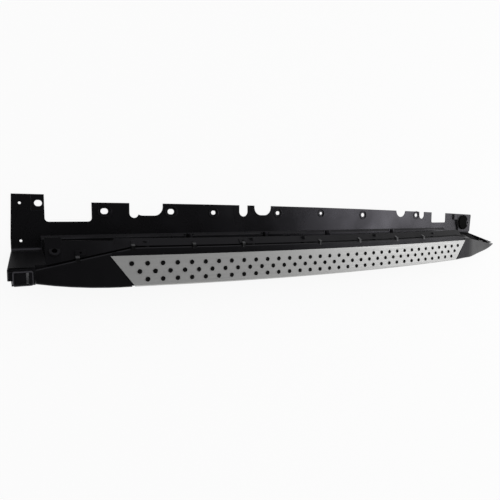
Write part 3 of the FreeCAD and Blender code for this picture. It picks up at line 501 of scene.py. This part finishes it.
@dataclass
class Workpiece:
    """A mesh on the bench, with the operations that shape it."""

    obj: bpy.types.Object

    @classmethod
    def drum(cls, name: str, radius: float, depth: float, centre: Vector, sides: int) -> "Workpiece":
        """Start from an upright cylinder.

        Args:
            name: The piece's name.
            radius: Its radius in metres.
            depth: Its height in metres.
            centre: The middle of it.
            sides: How many sides it has.

        Returns:
            The piece.
        """
        bpy.ops.object.select_all(action="DESELECT")
        bpy.ops.mesh.primitive_cylinder_add(vertices=sides, radius=radius, depth=depth, location=centre)
        return cls.taken(name)

    @classmethod
    def bar(cls, name: str, low: Vector, high: Vector) -> "Workpiece":
        """Start from a box between two corners.

        Args:
            name: The piece's name.
            low: Its lowest corner.
            high: Its highest corner.

        Returns:
            The piece.
        """
        bpy.ops.object.select_all(action="DESELECT")
        bpy.ops.mesh.primitive_cube_add(size=1.0, location=(low + high) / 2.0)
        bpy.context.active_object.scale = high - low
        return cls.taken(name)

    @classmethod
    def taken(cls, name: str) -> "Workpiece":
        """Name the new primitive and put its place and size into its mesh."""
        obj = bpy.context.active_object
        obj.name = name
        obj.data.name = name
        bpy.ops.object.transform_apply(location=True, rotation=True, scale=True)
        return cls(obj)

    @classmethod
    def merged(cls, name: str, node: bpy.types.Object, whole: bool = False) -> "Workpiece":
        """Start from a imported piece, with its loose triangles merged.

        Args:
            name: The new piece's name.
            node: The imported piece.
            whole: Whether its triangles are also joined into whole flat faces.

        Returns:
            The piece.
        """
        obj = bpy.data.objects.new(name, node.data.copy())
        bpy.context.scene.collection.objects.link(obj)
        piece = cls(obj)
        with piece.editing():
            bpy.ops.mesh.select_all(action="SELECT")
            bpy.ops.mesh.remove_doubles(threshold=0.01 * MM)
            if whole:
                bpy.ops.mesh.dissolve_limited(angle_limit=math.radians(FLAT_ANGLE))
        return piece

    def alone(self) -> None:
        """Select this piece only and make it the active one."""
        bpy.ops.object.select_all(action="DESELECT")
        self.obj.select_set(True)
        bpy.context.view_layer.objects.active = self.obj

    @contextmanager
    def editing(self) -> Iterator[None]:
        """Edit mode on this piece alone."""
        self.alone()
        bpy.ops.object.mode_set(mode="EDIT")
        yield
        bpy.ops.object.mode_set(mode="OBJECT")

    def pick(self, kind: Pick, test: Test) -> None:
        """Select in edit mode what passes a test.

        Args:
            kind: Faces, edges or vertices.
            test: Says whether one of them is selected.
        """
        bpy.ops.mesh.select_mode(type=kind.value)
        bpy.ops.mesh.select_all(action="DESELECT")
        mesh = bmesh.from_edit_mesh(self.obj.data)
        elements = {Pick.FACE: mesh.faces, Pick.EDGE: mesh.edges, Pick.VERT: mesh.verts}[kind]
        for element in filter(test, elements):
            element.select_set(True)
        mesh.select_flush_mode()
        bmesh.update_edit_mesh(self.obj.data)

    def soften(self, width: float, segments: int = 2, angle: float = 35.0) -> None:
        """Round the edges that turn by more than an angle.

        Args:
            width: The rounding's width in metres.
            segments: Steps of the rounding.
            angle: The angle in degrees.
        """
        self.alone()
        bevel = self.obj.modifiers.new("soft_edge", "BEVEL")
        bevel.width = width
        bevel.segments = segments
        bevel.limit_method = "ANGLE"
        bevel.angle_limit = math.radians(angle)
        bevel.use_clamp_overlap = False
        bpy.ops.object.modifier_apply(modifier=bevel.name)

    def smooth(self, angle: float = 40.0) -> None:
        """Shade smooth across edges that turn by less than an angle in degrees.

        Args:
            angle: The angle. Large faces keep a flat look.
        """
        self.alone()
        bpy.ops.object.shade_smooth_by_angle(angle=math.radians(angle))
        even = self.obj.modifiers.new("even_normals", "WEIGHTED_NORMAL")
        even.keep_sharp = True
        even.weight = 60
        bpy.ops.object.modifier_apply(modifier=even.name)

    def copy(self, name: str, place: Matrix) -> "Workpiece":
        """Copy this piece with a mesh of its own, moved by a matrix."""
        mesh = self.obj.data.copy()
        mesh.name = name
        mesh.transform(place)
        obj = bpy.data.objects.new(name, mesh)
        bpy.context.scene.collection.objects.link(obj)
        return Workpiece(obj)

    def take_in(self, others: list["Workpiece"]) -> None:
        """Join other pieces into this one."""
        self.alone()
        for other in others:
            other.obj.select_set(True)
        bpy.ops.object.join()

    def other_finish(self, wardrobe: Wardrobe, paint: Paint, test: Test) -> None:
        """Give some faces another finish.

        Args:
            wardrobe: The built materials.
            paint: The finish of these faces.
            test: Says whether a face gets it.
        """
        self.obj.data.materials.append(wardrobe.get(paint))
        with self.editing():
            self.pick(Pick.FACE, test)
            self.obj.active_material_index = len(self.obj.data.materials) - 1
            bpy.ops.object.material_slot_assign()

    def fit(self, wardrobe: Wardrobe, paint: Paint, *nodes: str) -> "Workpiece":
        """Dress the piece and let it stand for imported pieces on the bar.

        Args:
            wardrobe: The built materials.
            paint: The piece's finish.
            nodes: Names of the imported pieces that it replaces.

        Returns:
            The piece.
        """
        wardrobe.dress(self.obj, paint)
        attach(self.obj, "root")
        if nodes:
            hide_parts(*nodes)
        return self


def in_channel(face: bmesh.types.BMFace) -> bool:
    """True for the carrier's shelf and web, which get a darker copy of its finish as painted shade."""
    middle = face.calc_center_median()
    return middle.z > CHANNEL_LOW * MM and middle.x < CAVITY_X * MM


def in_cavity(face: bmesh.types.BMFace) -> bool:
    """True for the carrier's rear wall, and for its floor and ribs under the tail, which get a darker copy of
    its finish as painted shade.
    """
    middle = face.calc_center_median()
    outboard = middle.y < (CAVITY_Y - STEP_OUT) * MM
    wall = middle.x > CAVITY_X * MM and outboard and middle.z > CAVITY_LOW * MM
    return wall or middle.x > TAIL_FLOOR_X * MM


def faces_up(face: bmesh.types.BMFace) -> bool:
    """True for a face that looks straight up."""
    return face.normal.z > UPRIGHT


@dataclass
class Shells:
    """The moulded shells, the tread sheet and the plug, each with its name, finish and edge width."""

    wardrobe: Wardrobe
    nodes: dict[str, bpy.types.Object]
    shells: dict[str, tuple[str, Paint, float]] = field(default_factory=lambda: {
        "step_cover": ("cover_shell", Paint.COVER, 0.3),
        "carrier_moulding": ("carrier_shell", Paint.CARRIER, 0.3),
        "front_end_cap": ("cap_shell", Paint.CAP, 0.3),
        "rear_end_plate": ("corner_plate", Paint.END_PLATE, 0.45),
        "tread_plate": ("tread_sheet", Paint.ALUMINIUM, 0.25),
        "rear_plug": ("corner_plug", Paint.RUBBER, 0.8),
    })

    def build(self) -> list[Workpiece]:
        """Make a soft-edged piece for each shell."""
        pieces = []
        for node, (name, paint, width) in self.shells.items():
            piece = Workpiece.merged(name, self.nodes[node])
            piece.soften(width * MM)
            with piece.editing():
                piece.pick(Pick.VERT, lambda vertex: vertex.co.z < 0.0)
                bpy.ops.transform.resize(value=(1.0, 1.0, 0.0), center_override=(0.0, 0.0, 0.0))
            piece.smooth()
            piece.fit(self.wardrobe, paint, node)
            if paint is Paint.CARRIER:
                # Darker copies of the carrier finish paint shade onto the channel and the hollow under the
                # tail.
                piece.other_finish(self.wardrobe, Paint.CHANNEL, in_channel)
                piece.other_finish(self.wardrobe, Paint.CAVITY, in_cavity)
            pieces.append(piece)
        return pieces


@dataclass
class StudBed:
    """Rubber mat under the tread, with a dished stud through each hole whose head laps over its edge."""

    wardrobe: Wardrobe
    nodes: dict[str, bpy.types.Object]
    row_counts: tuple[int, ...] = (32, 33, 34)
    pitch: float = 40.0
    row_pitch: float = 20.0
    bow_radius: float = 21650.0
    radius: float = 5.5
    head_radius: float = 6.05
    mat_top: float = 90.0
    cut_above: float = 0.05
    plate_top: float = 92.05
    top: float = 94.0
    sides: int = 16
    root: float = 0.2
    rounding: float = 0.9
    rim: float = 1.5
    dish: float = 0.6
    smooth_angle: float = 50.0

    def places(self) -> list[tuple[float, float]]:
        """Centres of the studs, row by row from the nose inboard."""
        spots = []
        for row, count in enumerate(self.row_counts):
            for i in range(count):
                x = (i - (count - 1) / 2.0) * self.pitch
                spots.append((x, (row - 1) * self.row_pitch + x * x / (2.0 * self.bow_radius)))
        return spots

    def stud(self) -> Workpiece:
        """Shape one stud on the middle of the tread."""
        foot = self.mat_top - self.root
        neck = self.plate_top - foot
        middle = local(0.0, 0.0, foot + neck / 2.0)
        stud = Workpiece.drum("stud", self.radius * MM, neck * MM, middle, self.sides)
        flare = self.head_radius / self.radius
        head = local(0.0, 0.0, self.plate_top)
        rise = (0.0, 0.0, (self.top - self.plate_top) * MM)
        with stud.editing():
            stud.pick(Pick.FACE, faces_up)
            bpy.ops.mesh.extrude_region_move(TRANSFORM_OT_translate={"value": (0.0, 0.0, 0.0)})
            bpy.ops.transform.resize(value=(flare, flare, 1.0), center_override=head)
            bpy.ops.mesh.extrude_region_move(TRANSFORM_OT_translate={"value": rise})
            bpy.ops.mesh.bevel(offset=self.rounding * MM, segments=1)
            stud.pick(Pick.FACE, faces_up)
            bpy.ops.mesh.inset(thickness=self.rim * MM, depth=-self.dish * MM)
        stud.smooth(self.smooth_angle)
        return stud

    def mat(self) -> Workpiece:
        """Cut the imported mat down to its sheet."""
        mat = Workpiece.merged("stud_bed", self.nodes["stud_mat"])
        with mat.editing():
            bpy.ops.mesh.select_all(action="SELECT")
            cut = local(0.0, 0.0, self.mat_top + self.cut_above)
            bpy.ops.mesh.bisect(plane_co=cut, plane_no=(0.0, 0.0, 1.0), use_fill=True, clear_outer=True)
        return mat

    def build(self) -> list[Workpiece]:
        """Make the mat with all its studs."""
        bed = self.mat()
        first = self.stud()
        studs = [first.copy(f"stud_{i}", Matrix.Translation((x * MM, y * MM, 0.0)))
                 for i, (x, y) in enumerate(self.places())]
        bpy.data.objects.remove(first.obj)
        bed.take_in(studs)
        return [bed.fit(self.wardrobe, Paint.RUBBER, "stud_mat")]


@dataclass
class SpringClips:
    """Steel clips along the shelf that hook over the cover's rim."""

    wardrobe: Wardrobe
    nodes: dict[str, bpy.types.Object]
    thickness: float = 1.2
    reach: float = 6.6
    foot: float = 1.6
    bead_margin: float = 2.2
    bead_depth: float = 0.45
    rounding: float = 0.25

    def shape(self, name: str, low: Vector, high: Vector) -> Workpiece:
        """Bend one clip inside a box.

        Args:
            name: The clip's name.
            low: The box's lowest corner.
            high: Its highest corner.

        Returns:
            The clip.
        """
        thick = self.thickness * MM
        bend = high.y - self.reach * MM
        clip = Workpiece.bar(name, Vector((low.x, low.y, high.z - thick)), Vector((high.x, bend, high.z)))
        fall = Vector((0.0, (self.reach - self.foot) * MM, low.z + thick - high.z))
        with clip.editing():
            clip.pick(Pick.FACE, lambda face: face.normal.y > UPRIGHT)
            bpy.ops.mesh.extrude_region_move(TRANSFORM_OT_translate={"value": fall})
            bpy.ops.mesh.extrude_region_move(TRANSFORM_OT_translate={"value": (0.0, self.foot * MM, 0.0)})
            clip.pick(Pick.FACE, lambda face: faces_up(face)
                      and face.calc_center_median().z > high.z - thick / 2.0)
            bpy.ops.mesh.inset(thickness=self.bead_margin * MM, depth=-self.bead_depth * MM)
        clip.soften(self.rounding * MM)
        clip.smooth()
        return clip

    def build(self) -> list[Workpiece]:
        """Make the clips, each inside the box of the imported clip it replaces."""
        pieces = []
        for node in sorted(name for name in self.nodes if name.startswith("cover_clip")):
            low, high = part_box(node)
            clip = self.shape(node.replace("cover_clip", "spring_clip"), Vector(low), Vector(high))
            pieces.append(clip.fit(self.wardrobe, Paint.CLIP, node))
        return pieces


@dataclass
class HoleCollars:
    """Low raised rims round the flange's clip holes, one shape stretched to each hole."""

    wardrobe: Wardrobe
    holes: tuple[tuple[float, float, float, float], ...] = (
        (-701.0, 158.0, 19.0, 14.5), (-522.0, 158.0, 19.0, 14.5), (-391.0, 156.0, 14.5, 11.5),
        (-162.0, 156.0, 14.5, 11.5), (18.0, 156.0, 11.0, 9.0), (217.0, 151.0, 16.0, 13.5),
        (514.0, 151.0, 16.0, 13.5))
    flange_top: float = 3.0
    sink: float = 0.4
    height: float = 1.5
    width: float = 3.2
    margin: float = 9.0
    sides: int = 32
    rounding: float = 0.9
    slack: float = 0.1

    def rim(self, name: str, x: float, y: float, length: float, breadth: float) -> Workpiece:
        """Shape the rim of one hole.

        Args:
            name: The rim's name.
            x: Place of the hole along the bar.
            y: Its place inboard of the middle row of studs.
            length: The hole's length along the bar.
            breadth: The hole's width.

        Returns:
            The rim.
        """
        radius = breadth / 2.0 + self.margin
        deep = self.sink + self.height
        middle = local(x, y, self.flange_top - self.sink + deep / 2.0)
        floor = middle.z - deep * MM / 2.0
        rim = Workpiece.drum(name, radius * MM, deep * MM, middle, self.sides)
        with rim.editing():
            for side in (-1.0, 1.0):
                rim.pick(Pick.VERT, lambda vertex: side * (vertex.co.x - middle.x) > self.slack * MM)
                bpy.ops.transform.translate(value=(side * (length - breadth) / 2.0 * MM, 0.0, 0.0))
            rim.pick(Pick.FACE, faces_up)
            bpy.ops.mesh.inset(thickness=self.width * MM)
            bpy.ops.mesh.extrude_region_move(TRANSFORM_OT_translate={"value": (0.0, 0.0, -deep * MM)})
            rim.pick(Pick.FACE, lambda face: abs(face.normal.z) > UPRIGHT
                     and face.calc_center_median().z < floor + self.slack * MM)
            bpy.ops.mesh.delete(type="FACE")
            bpy.ops.mesh.select_mode(type="EDGE")
            bpy.ops.mesh.select_all(action="DESELECT")
            bpy.ops.mesh.select_non_manifold()
            bpy.ops.mesh.bridge_edge_loops()
        rim.soften(self.rounding * MM)
        rim.smooth()
        return rim

    def build(self) -> list[Workpiece]:
        """Make a rim for each hole."""
        pieces = []
        for i, (x, y, length, breadth) in enumerate(self.holes, start=1):
            rim = self.rim(f"hole_rim_{i}", x, y, length, breadth)
            pieces.append(rim.fit(self.wardrobe, Paint.CARRIER))
        return pieces


@dataclass
class TailHooks:
    """Small upright clips beside the tail's rim, each with a pressed bead."""

    wardrobe: Wardrobe
    nodes: dict[str, bpy.types.Object]
    bead_margin: float = 1.2
    bead_depth: float = 0.4
    bead_area: float = 40.0
    facing: float = 0.5
    rounding: float = 0.3

    def carries_bead(self, face: bmesh.types.BMFace) -> bool:
        """True for a hook's large face that looks inboard."""
        return face.normal.y > self.facing and face.calc_area() > self.bead_area * MM * MM

    def build(self) -> list[Workpiece]:
        """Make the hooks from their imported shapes."""
        pieces = []
        for node in sorted(name for name in self.nodes if name.startswith("tail_clip")):
            hook = Workpiece.merged(node.replace("tail_clip", "tail_hook"), self.nodes[node], whole=True)
            with hook.editing():
                hook.pick(Pick.FACE, self.carries_bead)
                bpy.ops.mesh.inset(thickness=self.bead_margin * MM, depth=-self.bead_depth * MM)
            hook.soften(self.rounding * MM)
            hook.smooth()
            pieces.append(hook.fit(self.wardrobe, Paint.CLIP, node))
        return pieces


@dataclass
class PanScrews:
    """Screws with a round drive recess and ringed shanks."""

    wardrobe: Wardrobe
    nodes: dict[str, bpy.types.Object]
    head_radius: float = 5.5
    head_height: float = 3.0
    drive_radius: float = 2.6
    drive_depth: float = 1.5
    shank_radius: float = 2.2
    thread_radius: float = 2.5
    thread_pitch: float = 1.6
    flank: float = 0.4
    plain_end: float = 2.0
    point: float = 0.5
    rounding: float = 1.1
    sides: int = 24

    def shape(self, shank_length: float) -> Workpiece:
        """Shape a screw that stands at the origin, with its head on top.

        Args:
            shank_length: Length under the head, in millimetres.

        Returns:
            The screw.
        """
        height = self.head_height * MM
        middle = Vector((0.0, 0.0, height / 2.0))
        screw = Workpiece.drum("screw", self.head_radius * MM, height, middle, self.sides)
        with screw.editing():
            screw.pick(Pick.FACE, faces_up)
            bpy.ops.mesh.bevel(offset=self.rounding * MM, segments=3)
            screw.pick(Pick.FACE, lambda face: face.normal.z < -UPRIGHT)
            bpy.ops.mesh.inset(thickness=(self.head_radius - self.shank_radius) * MM)
            step = self.flank * self.thread_pitch
            below = {"value": (0.0, 0.0, -step * MM)}
            wide = self.thread_radius / self.shank_radius
            turns = int((shank_length - self.plain_end) / self.thread_pitch)
            for _ in range(turns):
                for ratio in (wide, 1.0 / wide):
                    bpy.ops.mesh.extrude_region_move(TRANSFORM_OT_translate=below)
                    bpy.ops.transform.resize(value=(ratio, ratio, 1.0), center_override=(0.0, 0.0, 0.0))
            rest = shank_length - turns * 2.0 * step
            bpy.ops.mesh.extrude_region_move(TRANSFORM_OT_translate={"value": (0.0, 0.0, -rest * MM)})
            bpy.ops.transform.resize(value=(self.point, self.point, 1.0), center_override=(0.0, 0.0, 0.0))
            screw.pick(Pick.FACE, faces_up)
            bpy.ops.mesh.inset(thickness=(self.head_radius - self.rounding - self.drive_radius) * MM)
            recess = (0.0, 0.0, -self.drive_depth * MM)
            bpy.ops.mesh.extrude_region_move(TRANSFORM_OT_translate={"value": recess})
        screw.smooth()
        return screw

    def build(self) -> list[Workpiece]:
        """Make each screw in the box of the imported screw it replaces."""
        pieces = []
        models = {}
        for node in sorted(name for name in self.nodes if "screw" in name):
            low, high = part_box(node)
            low, high = Vector(low), Vector(high)
            middle = (low + high) / 2.0
            length = round((high.z - low.z) / MM - self.head_height, 2)
            if length not in models:
                models[length] = self.shape(length)
            if node.startswith("cover"):
                seat = Vector((middle.x, middle.y, low.z + self.head_height * MM))
                place = Matrix.Translation(seat) @ Matrix.Rotation(math.pi, 4, "X")
            else:
                seat = Vector((middle.x, middle.y, high.z - self.head_height * MM))
                place = Matrix.Translation(seat)
            screw = models[length].copy(f"pan_{node}", place)
            pieces.append(screw.fit(self.wardrobe, Paint.SCREW, node))
        for model in models.values():
            bpy.data.objects.remove(model.obj)
        return pieces


@dataclass
class Studio:
    """Pale floor, soft light and the camera."""

    lens: float = 31.5
    sensor: float = 36.0
    nearest: float = 0.01
    farthest: float = 60.0
    eye: Triple = (-0.9714, -0.0078, 1.1476)
    right: Triple = (0.8514, 0.0025, 0.5245)
    up: Triple = (0.0393, 0.9969, -0.0684)
    floor_size: float = 24.0
    floor_z: float = -0.0004
    floor_grey: float = 0.86
    floor_glow: float = 0.88
    white_up_to: float = 0.38
    dark_from: float = 0.76
    overhead: float = 0.02
    around: float = 0.80
    lamp_place: Triple = (2.6, 0.0, 2.05)
    lamp_aim: Triple = (0.3, -0.05, 0.0)
    lamp_size: float = 1.1
    lamp_power: float = 15.0

    def camera(self) -> None:
        """Place the camera at the photograph's angle."""
        data = bpy.data.cameras.new("photo_camera")
        data.lens = self.lens
        data.sensor_width = self.sensor
        data.clip_start = self.nearest
        data.clip_end = self.farthest
        obj = bpy.data.objects.new("photo_camera", data)
        bpy.context.scene.collection.objects.link(obj)
        right = Vector(self.right).normalized()
        up = Vector(self.up)
        up = (up - right * up.dot(right)).normalized()
        back = right.cross(up)
        turn = Matrix((right, up, back)).transposed().to_4x4()
        obj.matrix_world = Matrix.Translation(Vector(self.eye)) @ turn
        bpy.context.scene.camera = obj

    def floor(self) -> None:
        """Lay the pale floor, which shows almost white and keeps a soft shadow."""
        bpy.ops.object.select_all(action="DESELECT")
        bpy.ops.mesh.primitive_plane_add(size=self.floor_size, location=(0.0, 0.0, self.floor_z))
        floor = bpy.context.active_object
        floor.name = "studio_floor"
        material = bpy.data.materials.new("floor_white")
        material.use_nodes = True
        tree = material.node_tree
        tree.nodes.clear()
        grey = (self.floor_grey, self.floor_grey, self.floor_grey, 1.0)
        out = placed(tree, "ShaderNodeOutputMaterial")
        diffuse = placed(tree, "ShaderNodeBsdfDiffuse", {"Color": grey})
        glow = placed(tree, "ShaderNodeEmission", {"Color": WHITE})
        share = placed(tree, "ShaderNodeMath", operation="MULTIPLY")
        share.inputs[1].default_value = self.floor_glow
        mix = placed(tree, "ShaderNodeMixShader")
        wired(tree,
              (self.seen(tree), share.inputs[0]),
              (share.outputs[0], mix.inputs[0]),
              (diffuse.outputs[0], mix.inputs[1]),
              (glow.outputs[0], mix.inputs[2]),
              (mix.outputs[0], out.inputs["Surface"]))
        floor.data.materials.append(material)

    def seen(self, tree: bpy.types.NodeTree) -> bpy.types.NodeSocket:
        """Mask of the rays that look at the background: camera, glossy and transmission rays.

        Args:
            tree: The node tree that the mask is for.

        Returns:
            The mask's socket.
        """
        path = placed(tree, "ShaderNodeLightPath")
        mask = path.outputs["Is Camera Ray"]
        for other in ("Is Glossy Ray", "Is Transmission Ray"):
            either = placed(tree, "ShaderNodeMath", operation="MAXIMUM")
            wired(tree, (mask, either.inputs[0]), (path.outputs[other], either.inputs[1]))
            mask = either.outputs[0]
        return mask

    def world(self) -> None:
        """Light evenly from all round, and show a background that is white low down and dark overhead."""
        world = bpy.data.worlds.new("studio_world")
        bpy.context.scene.world = world
        world.use_nodes = True
        tree = world.node_tree
        tree.nodes.clear()
        out = placed(tree, "ShaderNodeOutputWorld")
        coordinate = placed(tree, "ShaderNodeTexCoord")
        axes = placed(tree, "ShaderNodeSeparateXYZ")
        bands = {"From Min": self.white_up_to, "From Max": self.dark_from,
                 "To Min": 1.0, "To Max": self.overhead}
        height = placed(tree, "ShaderNodeMapRange", bands, interpolation_type="SMOOTHSTEP")
        background = placed(tree, "ShaderNodeBackground", {"Color": WHITE})
        around = placed(tree, "ShaderNodeBackground", {"Color": WHITE, "Strength": self.around})
        mix = placed(tree, "ShaderNodeMixShader")
        wired(tree,
              (coordinate.outputs["Generated"], axes.inputs[0]),
              (axes.outputs["Z"], height.inputs["Value"]),
              (height.outputs["Result"], background.inputs["Strength"]),
              (self.seen(tree), mix.inputs[0]),
              (around.outputs[0], mix.inputs[1]),
              (background.outputs[0], mix.inputs[2]),
              (mix.outputs[0], out.inputs["Surface"]))

    def lamp(self) -> None:
        """Hang the square soft lamp off the bar's end."""
        data = bpy.data.lights.new("end_lamp", "AREA")
        data.shape = "SQUARE"
        data.size = self.lamp_size
        data.energy = self.lamp_power
        obj = bpy.data.objects.new("end_lamp", data)
        bpy.context.scene.collection.objects.link(obj)
        place = Vector(self.lamp_place)
        turn = (Vector(self.lamp_aim) - place).to_track_quat("-Z", "Y").to_matrix().to_4x4()
        obj.matrix_world = Matrix.Translation(place) @ turn

    def build(self) -> None:
        """Set up camera, floor, world and lamp."""
        self.camera()
        self.floor()
        self.world()
        self.lamp()
        bpy.context.scene.view_settings.view_transform = "Standard"


@dataclass
class StepBar:
    """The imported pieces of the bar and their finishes."""

    wardrobe: Wardrobe
    nodes: dict[str, bpy.types.Object]

    def paint_of(self, name: str) -> Paint:
        """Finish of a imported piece, by its name."""
        if name.startswith(("cover_clip", "tail_clip")):
            return Paint.CLIP
        if name.endswith("screw") or name.startswith("cover_screw"):
            return Paint.SCREW
        known = {"carrier_moulding": Paint.CARRIER, "step_cover": Paint.COVER, "tread_plate": Paint.ALUMINIUM,
                 "front_end_cap": Paint.CAP, "rear_end_plate": Paint.END_PLATE}
        return known.get(name, Paint.RUBBER)

    def dress(self) -> None:
        """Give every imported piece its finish."""
        for name, node in self.nodes.items():
            self.wardrobe.dress(node, self.paint_of(name))
            LOG.info("dressed %s", name)


def main() -> None:
    """Dress the bar, build its finer pieces and set up the studio."""
    logging.basicConfig(level=logging.INFO, format="%(message)s")
    wardrobe = Wardrobe(Groups.build())
    nodes = frame["nodes"]
    StepBar(wardrobe, nodes).dress()
    assemblies = (Shells(wardrobe, nodes), StudBed(wardrobe, nodes), SpringClips(wardrobe, nodes),
                  HoleCollars(wardrobe), TailHooks(wardrobe, nodes), PanScrews(wardrobe, nodes))
    for assembly in assemblies:
        for piece in assembly.build():
            LOG.info("built %s, %d faces", piece.obj.name, len(piece.obj.data.polygons))
    Studio().build()


if __name__ == "__main__":
    main()
